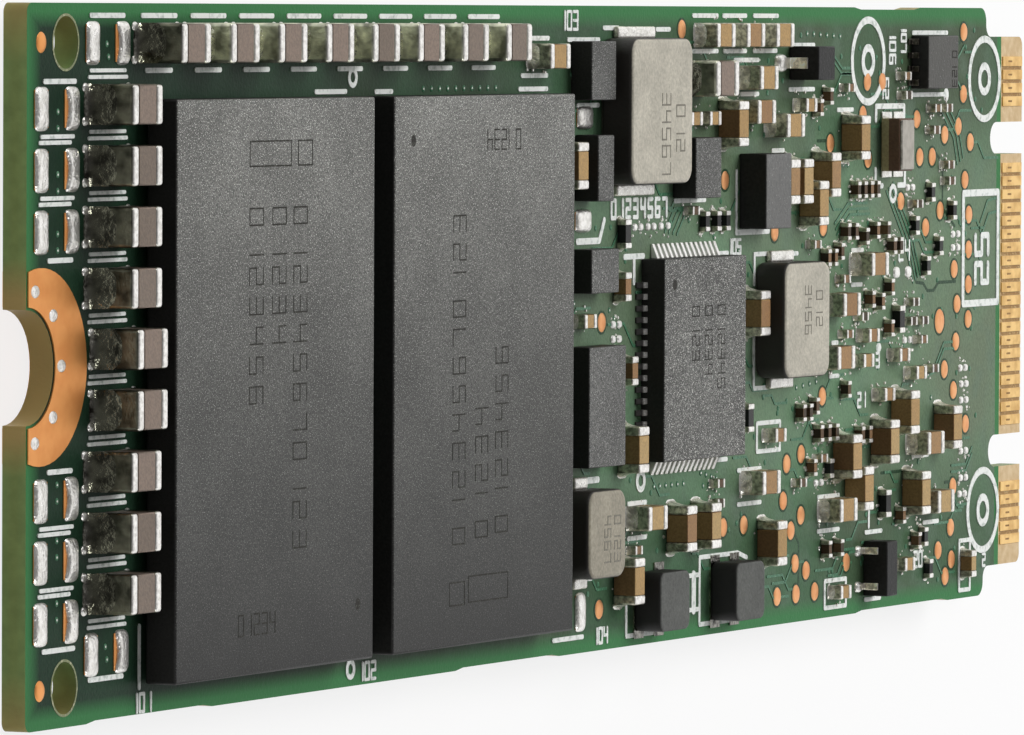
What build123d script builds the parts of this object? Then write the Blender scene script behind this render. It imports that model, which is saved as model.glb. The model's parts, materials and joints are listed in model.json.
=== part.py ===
from build123d import *
import os

# Solid state drive module on a keyed edge-connector card, in millimetres.
# X runs from the mounting notch to the edge contacts, Y runs across the card, and Z is up,
# out of the front face. While the parts are made, X is counted from the notched end. At the
# end everything moves so that the origin is under the middle of the card, on the plane that
# the packages on its back rest on.

# Card
board_thickness = 0.8
copper_thickness = 0.05
end_corner_radius = 0.3
recess_depth = 0.08
recess_slope = 0.6

# Mounting end
notch_radius = 1.75
mount_land_radius = 3.0
mount_land_inset = 0.85
copper_pullback = 0.08
tooling_hole_radius = 0.8
tooling_hole_inset = 2.5
tooling_hole_edge_gap = 1.2
fiducial_radius = 0.33
fiducial_inset = 0.9

# Edge connector: positions are numbered across both faces, half a pitch apart
contact_pitch = 0.5
contact_width = 0.36
contact_length = 1.9
contact_tip_gap = 0.1
middle_position = 38
front_positions = [*range(2, 12, 2), *range(20, 60, 2), *range(68, 76, 2)]
back_positions = [*range(1, 13, 2), *range(21, 59, 2), *range(67, 77, 2)]
key_positions = [15.5, 62.5]
key_width = 1.2
key_depth = 3.15
tongue_length = 3.6
tongue_margin = 0.675
tongue_corner_radius = 0.35
shoulder_outer_radius = 0.52
shoulder_inner_radius = 0.45
least_shoulder = 0.9
connector_gap = 1.2

# Flash packages, each on a field of solder balls drawn as one inset block
flash_length = 13.95
flash_width = 18.05
flash_height = 1.2
flash_gap = 1.45
flash_edge_gap = 1.0
ball_height = 0.15
ball_field_inset = 0.8

# Tall ceramic capacitors: a column beside the notch and a row along the upper edge
bulk_length = 2.0
bulk_width = 1.25
bulk_height = 1.45
bulk_band = 0.42
column_inset = 4.2
column_gap = 1.4
column_row_gap = 0.617
column_middle = 0.44
column_half_count = 4
column_step = 0.4
stepped_rows = [0, -1]
row_count = 8
row_gap = 1.363
row_lead = 0.14
row_clearance = 1.1
row_edge_gap = 0.6
row_tail = 3.94
row_end_inset = 0.4
row_end_drop = 0.475

# Solder-covered lands with no part on them
land_length = 1.0
land_width = 1.35
land_height = 0.16
land_chamfer = 0.08
land_spread = 1.95
land_pair_inset = 0.4
land_pair_start = 4.06
land_pair_count = 3
single_land_length = 1.35
single_land_width = 0.8
spare_land_length = 0.34
spare_land_width = 0.27
spare_land_height = 0.08
spare_land_spread = 0.5
wide_land_length = 0.55
wide_land_width = 0.42
wide_land_spread = 1.1

# Chip parts: length over the terminals, width, height and width of a terminal band
ceramic_length = 1.6
ceramic_width = 0.85
ceramic_height = 0.85
ceramic_band = 0.32
small_length = 1.0
small_width = 0.5
small_height = 0.5
small_band = 0.24
tiny_length = 0.62
tiny_width = 0.32
tiny_height = 0.35
tiny_band = 0.15
resistor_length = 1.0
resistor_width = 0.5
resistor_height = 0.35
resistor_band = 0.2
short_resistor_length = 0.7
short_resistor_width = 0.38
short_resistor_height = 0.27
short_resistor_band = 0.17
body_relief = 0.02

# Oscillator: a layered ceramic case on four lands, under a metal lid
oscillator_length = 1.25
oscillator_width = 1.92
oscillator_case_height = 0.72
oscillator_lid_thickness = 0.1
oscillator_lid_inset = 0.06
oscillator_land_length = 0.9
oscillator_land_gap = 0.16
oscillator_land_inset = 0.14
oscillator_land_reach = 0.24
oscillator_land_seat = 0.15
oscillator_land_height = 0.08

# Moulded inductors with pale tops, and their side terminals
large_inductor_length = 5.1
large_inductor_width = 5.0
medium_inductor_length = 4.05
medium_inductor_width = 4.1
small_inductor_length = 3.05
small_inductor_width = 3.0
inductor_height = 1.2
inductor_corner_radius = 0.55
side_terminal_end_gap = 1.0
side_terminal_reach = 0.4
side_terminal_height = 0.22

# Dark filter inductors on two lands each
filter_length = 2.5
filter_width = 2.05
filter_height = 1.0
filter_corner_radius = 0.35
filter_land_length = 0.8
filter_land_reach = 0.25
filter_land_gap = 0.9

# Square power chip with terminals on four sides
power_chip_size = 7.0
power_chip_height = 0.9
power_terminal_count = 14
power_terminal_pitch = 0.4
power_terminal_width = 0.2
power_terminal_reach = 0.5
power_terminal_toe = 0.06
power_terminal_heel = 0.26

# Small black packages: length along X, width along Y, height
chip_1_size = (2.0, 2.0, 0.8)
chip_2_size = (1.3, 2.25, 0.9)
chip_3_size = (2.25, 1.5, 0.75)
chip_4_size = (3.0, 4.1, 0.9)
chip_5_size = (2.2, 2.1, 0.9)
switch_size = (2.25, 2.65, 1.05)
sensor_size = (2.9, 1.95, 0.7)
diode_size = (1.5, 1.2, 1.15)
transistor_size = (1.0, 2.0, 0.95)

# Bent leads of the small packages
lead_thickness = 0.1
sensor_lead_width = 0.22
sensor_lead_foot = 0.35
sensor_lead_rise = 0.35
sensor_lead_pitch = 0.5
sensor_lead_count = 4
transistor_lead_width = 0.26
transistor_lead_foot = 0.55
transistor_lead_rise = 0.62
transistor_lead_pitch = 1.3
diode_lead_width = 0.4
diode_lead_foot = 0.9
diode_lead_rise = 0.75

# Round copper dots, drawn with a few flat sides
dot_sides = 7
test_point_radius = 0.35
large_test_point_radius = 0.48

# Packages on the back, which carry the card when it lies down
back_height = 1.2
controller_length = 12.0
controller_width = 12.0
controller_gap = 2.0
memory_length = 8.0
memory_width = 11.0
memory_gap = 3.0
back_capacitor_count = 6
back_capacitor_pitch = 1.8

# Levels of the card's two faces
back_z = back_height
front_z = back_z + board_thickness

# Places along the card that follow from the sizes above
flash_1_x = column_inset + bulk_length + column_gap
flash_2_x = flash_1_x + flash_length + flash_gap
column_pitch = bulk_width + column_row_gap
row_pitch = bulk_length + row_gap
row_start_x = flash_1_x - row_lead
row_end_x = row_start_x + row_count * row_pitch - row_gap
field_x = max(flash_2_x + flash_length, row_end_x + row_tail)

# Parts beyond the flash packages stand on a placement grid: columns are counted from
# field_x, and rows from the middle line of the card
placement_grid = 0.1
part_edge_gap = 0.42
chip_1_spot = (32, 88)
chip_2_spot = (32, 55)
chip_3_spot = (35, 20)
chip_4_spot = (34, -26)
chip_5_spot = (118, 54)
switch_spot = (176, 45)
sensor_spot = (336, 90)
diode_spot = (216, 90)
transistor_spot = (284, -94)
power_chip_spot = (116, -12)
large_inductor_spot = (72, 74)
medium_inductor_spot = (199, -1)
small_inductor_spot = (28, -69)
filter_spots = [(88, -95), (153, -95)]
extra_bulk_spot = (122, 85)
oscillator_spot = (298, 60)
ceramic_along_x = [
    (134, 100), (160, 100), (186, 100), (172, 85), (170, 73), (196, 68), (78, -66),
    (176, -58), (274, 17), (248, 3), (243, -16), (328, -50), (246, -71), (338, -72),
]
ceramic_along_y = [
    (15, 56), (66, -42), (63, -87), (107, -71), (128, -71), (186, -80), (170, 2), (150, 69),
    (196, 48), (208, 48), (233, 50), (222, 40), (260, 63), (308, -38), (289, -48), (254, -52),
    (349, -45), (265, -64), (319, -68),
]
small_along_x = [
    (133, 71), (117, 71), (29, 3), (192, -42), (218, 75), (277, -9), (272, -18), (306, -17),
    (322, -24), (292, -31), (252, -101), (312, -94),
]
small_along_y = [(60, 14), (66, -15), (374, -97)]
tiny_along_x = [
    (311, 85), (312, 78), (258, 81), (340, 73), (351, 73), (339, 65), (353, 52), (354, 46),
    (323, 38), (228, 25), (320, 2), (318, -5), (329, -5), (328, -12), (339, -23), (255, 12),
    (272, -2), (258, -8), (216, -60), (235, -52), (120, 39), (143, -57), (143, -64), (73, -77),
]
tiny_along_y = [
    (266, 44), (272, 44), (278, 44), (284, 44), (257, 29), (264, 29), (274, 27), (284, 29),
    (294, 29), (239, 20), (245, 20), (251, 22), (300, 23), (306, 23), (280, 4), (289, 3),
    (298, 8), (298, -7), (258, -28), (217, -35), (223, -35), (229, -33), (233, -43), (240, -43),
    (247, -43), (271, -45), (278, -45), (227, -55), (241, -85), (252, -85), (325, -86), (310, -76),
    (231, 74), (240, 78),
]
resistor_along_y = [(307, -4), (295, -71), (63, 32), (169, -35)]
short_resistor_along_y = [
    (334, 15), (346, 22), (323, 30), (359, 35), (338, 42), (338, -97), (333, -85), (244, -56),
    (132, 35), (142, 35), (150, 35),
]
spare_along_x = [
    (321, 44), (365, 26), (365, 21), (319, -12), (373, -24), (374, -30), (374, -36), (374, -55),
    (374, -65), (373, -71), (237, -61), (60, 1), (60, -4),
]
wide_land_spots = [(314, 13)]
spare_row = [(75, 34), (80, 34), (86, 34), (91, 34), (97, 34), (103, 34)]
single_along_x = [(33, 72), (32, 37)]
single_along_y = [(31, -96)]
test_point_spots = [
    (114, 102), (152, 49), (196, 30), (48, 2), (47, -96), (170, -73), (152, -73), (208, -53),
    (205, -66), (200, -100), (372, 101), (372, 78), (280, 83), (294, 83), (276, 71), (246, 61),
    (281, 55), (327, 69), (330, 55), (342, 55), (354, 63), (367, 66), (379, 60), (374, 46),
    (312, 39), (350, 35), (336, 29), (378, 33), (378, 20), (378, 7), (364, 13), (367, 0),
    (378, -6), (366, -14), (355, -24), (364, -32), (376, -45), (240, 31), (240, -30), (221, -50),
    (221, -72), (212, -77), (216, -89), (226, -92), (217, -100), (234, -100), (263, -91),
    (364, -68), (362, -83), (350, -91), (363, -95), (357, -101),
]
large_test_point_spot = (350, -6)
upper_recesses = [(268, 330)]
lower_recesses = [(-330, -245), (-67, 15), (272, 360)]


def block(length, width, height):
    """A box centred over its own base."""
    return Box(length, width, height, align=(Align.CENTER, Align.CENTER, Align.MIN))


def rounded_block(length, width, height, radius):
    """A box with rounded upright edges."""
    body = block(length, width, height)
    return fillet(body.edges().filter_by(Axis.Z), radius)


def copper_dot(radius):
    """A round copper dot centred over its own base."""
    return extrude(RegularPolygon(radius, dot_sides), copper_thickness)


def on_front(spot, height=0.0):
    """Location over a grid place, at a height above the front face."""
    column, row = spot
    return Pos(field_x + column * placement_grid, row * placement_grid, front_z + height)


def grid_locations(along_x, along_y):
    """Front-face locations of parts that lie along X and along Y."""
    straight = [on_front(spot) for spot in along_x]
    turned = [on_front(spot) * Rot(0, 0, 90) for spot in along_y]
    return straight + turned


def centred_offsets(count, pitch):
    """Places of a row of like things about its middle."""
    return [(i - (count - 1) / 2) * pitch for i in range(count)]


def chip_family(locations, length, width, height, band):
    """Bodies and end terminals of like chip parts, which lie along their own X."""
    core = Pos(0, 0, body_relief) * block(
        length - 2 * band, width - 2 * body_relief, height - 2 * body_relief)
    terminal = block(band, width, height)
    end = (length - band) / 2
    bodies = [location * core for location in locations]
    terminals = [location * Pos(side * end, 0, 0) * terminal for location in locations for side in (-1, 1)]
    return bodies, terminals


def ball_package(length, width, height):
    """A moulded package on its ball field, base down."""
    mould = Pos(0, 0, ball_height) * block(length, width, height - ball_height)
    field = block(length - 2 * ball_field_inset, width - 2 * ball_field_inset, ball_height)
    return mould + field


def moulded_inductor(spot, length, width):
    """Body and two side terminals of a moulded inductor."""
    body = on_front(spot) * rounded_block(length, width, inductor_height, inductor_corner_radius)
    terminal = block(length - 2 * side_terminal_end_gap, side_terminal_reach, side_terminal_height)
    offset = (width + side_terminal_reach) / 2
    return body, [on_front(spot) * Pos(0, side * offset, 0) * terminal for side in (-1, 1)]


def bent_lead(foot, rise, width):
    """A lead that runs down a wall at X = 0 and ends in a foot towards -X."""
    profile = Polygon(
        (0, 0),
        (0, rise),
        (-lead_thickness, rise),
        (-lead_thickness, lead_thickness),
        (-foot, lead_thickness),
        (-foot, 0),
        align=None,
    )
    return extrude(Plane.XZ * profile, width / 2, both=True)


def lead_row(spot, size, lead, offsets, side):
    """Like leads along one end of a package; side is -1 or 1 along X."""
    turn = Rot(0, 0, 90 * (side + 1))
    return [on_front(spot) * Pos(side * size[0] / 2, y, 0) * turn * lead for y in offsets]


def solder_land(length, width):
    """A land under a low cushion of solder."""
    cushion = block(length, width, land_height)
    return chamfer(cushion.faces().sort_by(Axis.Z)[-1].edges(), land_chamfer)


# Power chip and its terminals
power_chip = on_front(power_chip_spot) * block(power_chip_size, power_chip_size, power_chip_height)
terminal_profile = Polygon(
    (0, 0),
    (power_terminal_reach, 0),
    (power_terminal_reach, power_terminal_toe),
    (0, power_terminal_heel),
    align=None,
)
power_terminal = extrude(Plane.XZ * terminal_profile, power_terminal_width / 2, both=True)
power_terminals = [
    on_front(power_chip_spot) * Rot(0, 0, 90 * side) * Pos(power_chip_size / 2, y, 0) * power_terminal
    for side in range(4)
    for y in centred_offsets(power_terminal_count, power_terminal_pitch)
]

# Inductors
large_inductor, large_terminals = moulded_inductor(
    large_inductor_spot, large_inductor_length, large_inductor_width)
medium_inductor, medium_terminals = moulded_inductor(
    medium_inductor_spot, medium_inductor_length, medium_inductor_width)
small_inductor, small_inductor_terminals = moulded_inductor(
    small_inductor_spot, small_inductor_length, small_inductor_width)
filter_body = rounded_block(filter_length, filter_width, filter_height, filter_corner_radius)
filter_inductors = [on_front(spot, copper_thickness) * filter_body for spot in filter_spots]
filter_land = block(filter_land_length, filter_width + 2 * filter_land_reach, copper_thickness)
filter_land_offset = (filter_land_length + filter_land_gap) / 2
filter_lands = [
    on_front(spot) * Pos(side * filter_land_offset, 0, 0) * filter_land
    for spot in filter_spots
    for side in (-1, 1)
]

# Small black packages and their leads
chip_1 = on_front(chip_1_spot) * block(*chip_1_size)
chip_2 = on_front(chip_2_spot) * block(*chip_2_size)
chip_3 = on_front(chip_3_spot) * block(*chip_3_size)
chip_4 = on_front(chip_4_spot) * block(*chip_4_size)
chip_5 = on_front(chip_5_spot) * block(*chip_5_size)
switch = on_front(switch_spot) * block(*switch_size)
sensor = on_front(sensor_spot) * block(*sensor_size)
sensor_lead = bent_lead(sensor_lead_foot, sensor_lead_rise, sensor_lead_width)
sensor_offsets = centred_offsets(sensor_lead_count, sensor_lead_pitch)
sensor_leads = lead_row(sensor_spot, sensor_size, sensor_lead, sensor_offsets, -1)
sensor_leads += lead_row(sensor_spot, sensor_size, sensor_lead, sensor_offsets, 1)
diode = on_front(diode_spot) * block(*diode_size)
diode_lead = bent_lead(diode_lead_foot, diode_lead_rise, diode_lead_width)
diode_leads = lead_row(diode_spot, diode_size, diode_lead, [0], -1)
diode_leads += lead_row(diode_spot, diode_size, diode_lead, [0], 1)
transistor = on_front(transistor_spot) * block(*transistor_size)
transistor_lead = bent_lead(transistor_lead_foot, transistor_lead_rise, transistor_lead_width)
pair_offsets = centred_offsets(2, transistor_lead_pitch)
transistor_leads = lead_row(transistor_spot, transistor_size, transistor_lead, pair_offsets, -1)
transistor_leads += lead_row(transistor_spot, transistor_size, transistor_lead, [0], 1)

# Chip parts on the placement grid
ceramic_bodies, ceramic_terminals = chip_family(
    grid_locations(ceramic_along_x, ceramic_along_y),
    ceramic_length, ceramic_width, ceramic_height, ceramic_band)
small_bodies, small_terminals = chip_family(
    grid_locations(small_along_x, small_along_y), small_length, small_width, small_height, small_band)
tiny_bodies, tiny_terminals = chip_family(
    grid_locations(tiny_along_x, tiny_along_y), tiny_length, tiny_width, tiny_height, tiny_band)
resistor_bodies, resistor_terminals = chip_family(
    grid_locations([], resistor_along_y),
    resistor_length, resistor_width, resistor_height, resistor_band)
short_bodies, short_terminals = chip_family(
    grid_locations([], short_resistor_along_y),
    short_resistor_length, short_resistor_width, short_resistor_height, short_resistor_band)
resistor_bodies += short_bodies
resistor_terminals += short_terminals

# Oscillator: two lands side by side at each end of the case, the far one past its side
oscillator = on_front(oscillator_spot)
oscillator_case = oscillator * Pos(0, 0, oscillator_land_height) * block(
    oscillator_length, oscillator_width, oscillator_case_height)
oscillator_lid = oscillator * Pos(0, 0, oscillator_land_height + oscillator_case_height) * block(
    oscillator_length - 2 * oscillator_lid_inset, oscillator_width - 2 * oscillator_lid_inset,
    oscillator_lid_thickness)
oscillator_land = block(
    oscillator_land_length, oscillator_land_seat + oscillator_land_reach, oscillator_land_height)
oscillator_land_x = oscillator_land_inset + (oscillator_land_length - oscillator_length) / 2
oscillator_land_y = (oscillator_width + oscillator_land_reach - oscillator_land_seat) / 2
oscillator_lands = [
    oscillator * Pos(
        oscillator_land_x + place * (oscillator_land_length + oscillator_land_gap), side * oscillator_land_y, 0)
    * oscillator_land
    for place in (0, 1)
    for side in (-1, 1)
]

# Copper test points and small spare lands
test_point = copper_dot(test_point_radius)
test_points = [on_front(spot) * test_point for spot in test_point_spots]
test_points.append(on_front(large_test_point_spot) * copper_dot(large_test_point_radius))
spare_land = block(spare_land_length, spare_land_width, spare_land_height)
spare_lands = [
    on_front(spot) * Pos(side * spare_land_spread / 2, 0, 0) * spare_land
    for spot in spare_along_x
    for side in (-1, 1)
]
spare_lands += [on_front(spot) * spare_land for spot in spare_row]
wide_land = block(wide_land_length, wide_land_width, spare_land_height)
spare_lands += [
    on_front(spot) * Pos(side * wide_land_spread / 2, 0, 0) * wide_land
    for spot in wide_land_spots
    for side in (-1, 1)
]


def position_y(number):
    """Y of a numbered contact position."""
    return (number - middle_position) * contact_pitch / 2


# Width of the card: the widest of the flash field, the capacitor column, the part field
# and the tongue with its shoulders
tongue_width = 2 * (position_y(max(back_positions)) + tongue_margin)
edge_parts = Compound(ceramic_terminals + filter_inductors + test_points).bounding_box()
part_field = 2 * (max(edge_parts.max.Y, -edge_parts.min.Y) + part_edge_gap)
flash_field = flash_edge_gap + flash_width + row_clearance + bulk_width + row_edge_gap
column_reach = column_middle + (column_half_count + 1) * column_pitch + bulk_width / 2
column_field = 2 * (column_reach + row_edge_gap)
board_width = max(flash_field, column_field, part_field, tongue_width + 2 * least_shoulder)
half_width = board_width / 2

# Length of the card: the part field ends before the shoulders of the tongue
field_end_x = Compound(test_points + spare_lands + small_terminals).bounding_box().max.X
tongue_x = field_end_x + connector_gap
board_length = tongue_x + tongue_length

# Flash packages on the front, and two more under them on the back
flash_y = flash_edge_gap + flash_width / 2 - half_width
flash_centres = [flash_1_x + flash_length / 2, flash_2_x + flash_length / 2]
flash_package = ball_package(flash_length, flash_width, flash_height)
front_flash = [Pos(x, flash_y, front_z) * flash_package for x in flash_centres]
back_package = ball_package(flash_length, flash_width, back_height)
back_flash = [Pos(x, flash_y, back_z) * Rot(180, 0, 0) * back_package for x in flash_centres]

# Tall ceramic capacitors
column_x = column_inset + bulk_length / 2
bulk_locations = [
    Pos(column_x + (column_step if i in stepped_rows else 0), column_middle + i * column_pitch, front_z)
    for i in range(-column_half_count, column_half_count + 1)
]
row_y = flash_y + flash_width / 2 + row_clearance + bulk_width / 2
bulk_locations += [
    Pos(row_start_x + bulk_length / 2 + i * row_pitch, row_y, front_z) for i in range(row_count)
]
bulk_locations.append(on_front(extra_bulk_spot))
bulk_bodies, bulk_terminals = chip_family(
    bulk_locations, bulk_length, bulk_width, bulk_height, bulk_band)

# One smaller capacitor past the end of the row
row_end_location = Pos(flash_2_x + flash_length - row_end_inset, row_y - row_end_drop, front_z)
row_end_bodies, row_end_terminals = chip_family(
    [row_end_location], ceramic_length, ceramic_width, ceramic_height, ceramic_band)
ceramic_bodies += row_end_bodies
ceramic_terminals += row_end_terminals

# Lands with no part: pairs beside the notch, the two ends of the column, and single ones
pair_x = land_pair_inset + (land_spread + land_length) / 2
pair_centres = [
    (pair_x, side * (land_pair_start + i * column_pitch))
    for side in (-1, 1)
    for i in range(land_pair_count)
]
pair_centres += [
    (column_x, column_middle + side * (column_half_count + 1) * column_pitch) for side in (-1, 1)
]
pair_land = solder_land(land_length, land_width)
bare_lands = [
    Pos(x + side * land_spread / 2, y, front_z) * pair_land
    for x, y in pair_centres
    for side in (-1, 1)
]
single_land = solder_land(single_land_length, single_land_width)
bare_lands += [location * single_land for location in grid_locations(single_along_x, single_along_y)]

# Packages and small capacitors on the back
controller_x = field_x + controller_gap + controller_length / 2
controller = Pos(controller_x, 0, back_z) * Rot(180, 0, 0) * ball_package(
    controller_length, controller_width, back_height)
memory_x = controller_x + controller_length / 2 + memory_gap + memory_length / 2
working_memory = Pos(memory_x, 0, back_z) * Rot(180, 0, 0) * ball_package(
    memory_length, memory_width, back_height)
back_capacitor_x = controller_x + (controller_length + memory_gap) / 2
back_locations = [
    Pos(back_capacitor_x, y, back_z) * Rot(180, 0, 0)
    for y in centred_offsets(back_capacitor_count, back_capacitor_pitch)
]
back_bodies, back_terminals = chip_family(
    back_locations, small_length, small_width, small_height, small_band)


def contact_row(positions, z):
    """Gold contacts of one face, with their lower sides at z."""
    contact = block(contact_length, contact_width, copper_thickness)
    x = board_length - contact_tip_gap - contact_length / 2
    return [Pos(x, position_y(number), z) * contact for number in positions]


def mount_land(z):
    """Half-round copper land around the notch, with its lower side at z."""
    land = Pos(mount_land_inset, 0) * Circle(mount_land_radius)
    size = 2 * (mount_land_radius + mount_land_inset)
    kept = Pos(copper_pullback + size / 2, 0) * Rectangle(size, size)
    ring = (land & kept) - Circle(notch_radius + copper_pullback)
    return Pos(0, 0, z) * extrude(ring, copper_thickness)


def edge_recess(columns, side):
    """Shallow routed recess along a long edge; side is 1 for the upper edge."""
    start, end = [field_x + column * placement_grid for column in columns]
    edge = side * half_width
    floor = side * (half_width - recess_depth)
    line = Polyline(
        (start, edge), (start + recess_slope, floor), (end - recess_slope, floor), (end, edge), close=True)
    return make_face(line)


def key_slot(number):
    """Round-ended slot in the tongue at a contact position."""
    end_x = board_length - key_depth + key_width / 2
    slot = Pos((end_x + board_length) / 2, 0) * Rectangle(board_length - end_x, key_width)
    slot += Pos(end_x, 0) * Circle(key_width / 2)
    return Pos(0, position_y(number)) * slot


def corners(outline, x, y):
    """The two corners of an outline at x and plus or minus y."""
    reach = end_corner_radius / 2
    return [v for v in outline.vertices() if abs(v.X - x) < reach and abs(abs(v.Y) - y) < reach]


def card():
    """The laminated card with its notch, holes, tongue and key slots."""
    outline = Pos(tongue_x / 2, 0) * Rectangle(tongue_x, board_width)
    outline += Pos(board_length / 2, 0) * Rectangle(board_length, tongue_width)
    wall = (board_width - tongue_width) / 2
    outline = fillet(corners(outline, 0, half_width), end_corner_radius)
    outline = fillet(corners(outline, tongue_x, half_width), min(shoulder_outer_radius, wall / 2))
    outline = fillet(corners(outline, tongue_x, tongue_width / 2), min(shoulder_inner_radius, wall / 2))
    outline = fillet(corners(outline, board_length, tongue_width / 2), tongue_corner_radius)
    outline -= Circle(notch_radius)
    for side in (-1, 1):
        hole_y = side * (half_width - tooling_hole_edge_gap)
        outline -= Pos(tooling_hole_inset, hole_y) * Circle(tooling_hole_radius)
    for number in key_positions:
        outline -= key_slot(number)
    for columns in upper_recesses:
        outline -= edge_recess(columns, 1)
    for columns in lower_recesses:
        outline -= edge_recess(columns, -1)
    return Pos(0, 0, back_z) * extrude(outline, board_thickness)


fiducial_y = half_width - tooling_hole_edge_gap
fiducials = [
    Pos(fiducial_inset, side * fiducial_y, front_z) * copper_dot(fiducial_radius)
    for side in (-1, 1)
]

nodes = {
    "circuit_board": card(),
    "mounting_land_front": mount_land(front_z),
    "mounting_land_back": mount_land(back_z - copper_thickness),
    "edge_contacts_front": contact_row(front_positions, front_z),
    "edge_contacts_back": contact_row(back_positions, back_z - copper_thickness),
    "test_points": test_points,
    "fiducial_dots": fiducials,
    "bare_solder_lands": bare_lands,
    "spare_solder_lands": spare_lands,
    "flash_package_front_1": front_flash[0],
    "flash_package_front_2": front_flash[1],
    "flash_package_back_1": back_flash[0],
    "flash_package_back_2": back_flash[1],
    "drive_controller": controller,
    "working_memory": working_memory,
    "bulk_capacitor_bodies": bulk_bodies,
    "bulk_capacitor_terminals": bulk_terminals,
    "ceramic_capacitor_bodies": ceramic_bodies,
    "ceramic_capacitor_terminals": ceramic_terminals,
    "small_capacitor_bodies": small_bodies,
    "small_capacitor_terminals": small_terminals,
    "tiny_capacitor_bodies": tiny_bodies,
    "tiny_capacitor_terminals": tiny_terminals,
    "oscillator_case": oscillator_case,
    "oscillator_lid": oscillator_lid,
    "oscillator_lands": oscillator_lands,
    "back_capacitor_bodies": back_bodies,
    "back_capacitor_terminals": back_terminals,
    "chip_resistor_bodies": resistor_bodies,
    "chip_resistor_terminals": resistor_terminals,
    "large_inductor": large_inductor,
    "large_inductor_terminals": large_terminals,
    "medium_inductor": medium_inductor,
    "medium_inductor_terminals": medium_terminals,
    "small_inductor": small_inductor,
    "small_inductor_terminals": small_inductor_terminals,
    "filter_inductor_1": filter_inductors[0],
    "filter_inductor_2": filter_inductors[1],
    "filter_inductor_lands": filter_lands,
    "power_chip": power_chip,
    "power_chip_terminals": power_terminals,
    "regulator_chip_1": chip_1,
    "regulator_chip_2": chip_2,
    "regulator_chip_3": chip_3,
    "regulator_chip_4": chip_4,
    "regulator_chip_5": chip_5,
    "switching_transistor": switch,
    "sensor_chip": sensor,
    "sensor_chip_leads": sensor_leads,
    "protection_diode": diode,
    "protection_diode_leads": diode_leads,
    "small_transistor": transistor,
    "small_transistor_leads": transistor_leads,
}

os.makedirs("parts", exist_ok=True)
to_origin = Pos(-board_length / 2, 0, 0)
for name, shape in nodes.items():
    solid = Compound(shape) if isinstance(shape, list) else shape
    export_step(to_origin * solid, "parts/" + name + ".step")
print("card", round(board_length, 3), "x", round(board_width, 3))
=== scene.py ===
import json
import math
import random

import bmesh
import bpy
from mathutils import Matrix, Vector

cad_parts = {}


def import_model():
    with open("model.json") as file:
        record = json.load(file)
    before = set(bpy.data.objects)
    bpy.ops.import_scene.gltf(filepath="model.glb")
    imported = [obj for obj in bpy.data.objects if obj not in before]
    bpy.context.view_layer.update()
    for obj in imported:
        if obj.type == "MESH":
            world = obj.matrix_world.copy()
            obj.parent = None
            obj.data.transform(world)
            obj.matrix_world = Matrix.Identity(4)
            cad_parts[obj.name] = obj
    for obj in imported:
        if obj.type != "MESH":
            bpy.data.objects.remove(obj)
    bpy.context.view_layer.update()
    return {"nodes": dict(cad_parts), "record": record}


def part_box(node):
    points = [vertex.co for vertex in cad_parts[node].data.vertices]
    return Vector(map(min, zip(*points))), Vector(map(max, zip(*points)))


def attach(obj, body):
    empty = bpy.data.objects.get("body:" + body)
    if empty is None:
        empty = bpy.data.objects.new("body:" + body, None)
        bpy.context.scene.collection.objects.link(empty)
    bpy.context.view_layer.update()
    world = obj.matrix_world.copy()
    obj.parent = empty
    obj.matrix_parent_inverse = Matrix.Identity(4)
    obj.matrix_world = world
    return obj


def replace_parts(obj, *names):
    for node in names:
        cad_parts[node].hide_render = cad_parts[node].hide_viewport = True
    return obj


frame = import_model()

# Looks of a solid state drive card. Lengths are in millimetres until a mesh is made.
# Card places count X from the notched end, as the card's drawing does.
MM = 0.001
board_low, board_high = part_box("circuit_board")
card_half_width = board_high.y / MM
front_z = board_high.z / MM
card_thickness = (board_high.z - board_low.z) / MM
end_x = board_low.x / MM
slots = {row["node"]: row["material_slot"] for row in frame["record"]["subparts"]}

# Camera, fitted to the photograph
camera_place = (-289.05, 10.82, 134.38)
camera_aim = (-5.43, -1.10, 2.0)
camera_roll = 91.28
camera_lens = 329.4
camera_sensor = 36.0
camera_near = 10.0

# Lamps: name, place, size, power, whether reflections show them, whether they light matt faces
lamps = [
    ("key", (230, 190, 380), 340, 1.9, False, True),
    ("rim", (330, -60, 170), 240, 0.3, False, True),
    ("fill", (-330, 60, 180), 160, 0.12, False, True),
    ("side_1", (-10, 330, 130), 150, 0.10, True, True),
    ("side_2", (-10, -330, 110), 150, 0.10, True, True),
    ("glint_1", (-120, 260, 220), 40, 0.25, True, False),
    ("glint_2", (-150, -250, 220), 40, 0.25, True, False),
]

# Backdrop, from its dark near side to its white far side, and floor
dark_until = -0.05
white_from = 0.55
ambient = 0.3
near_side = 0.16
floor_share = 0.18
floor_reach = 3000

# Where the looks of the card change along its length
column_end_x = 8.5
# Span over which the mask's painted shade turns to painted sheen
sheen_from_x, sheen_to_x = 10, 52
mask_end_x = 77.9

# Print and fine detail
ink_height = 0.03
stroke = 0.16
stroke_step = 0.0006
stroke_steps = 7
digit_width = 0.55
digit_step = 0.85
track_width = 0.10
track_height = 0.02
gap_width = 0.12
gap_height = 0.004
via_radius = 0.11
via_height = 0.025
etch_depth, etch_height = 0.002, 0.003
edge_band = 0.45
# Reach of the painted shade and glint along the near leads
lead_reach = 0.5
# Size of the smears in the painted shade on capacitor ends
painted_smear_size = 0.5
weld = 0.0005

# Shades that several materials share; those for walls and ends are painted shade, and the row's is a painted
# reflection
# Painted shade for the walls of moulded parts
painted_wall_shade_dark = (0.010, 0.0095, 0.009)
painted_wall_shade_light = (0.020, 0.019, 0.018)
# Painted shade for the sides of the inductors
painted_dark_side = (0.025, 0.022, 0.018)
painted_end_shade = (0.27, 0.26, 0.205)
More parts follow.
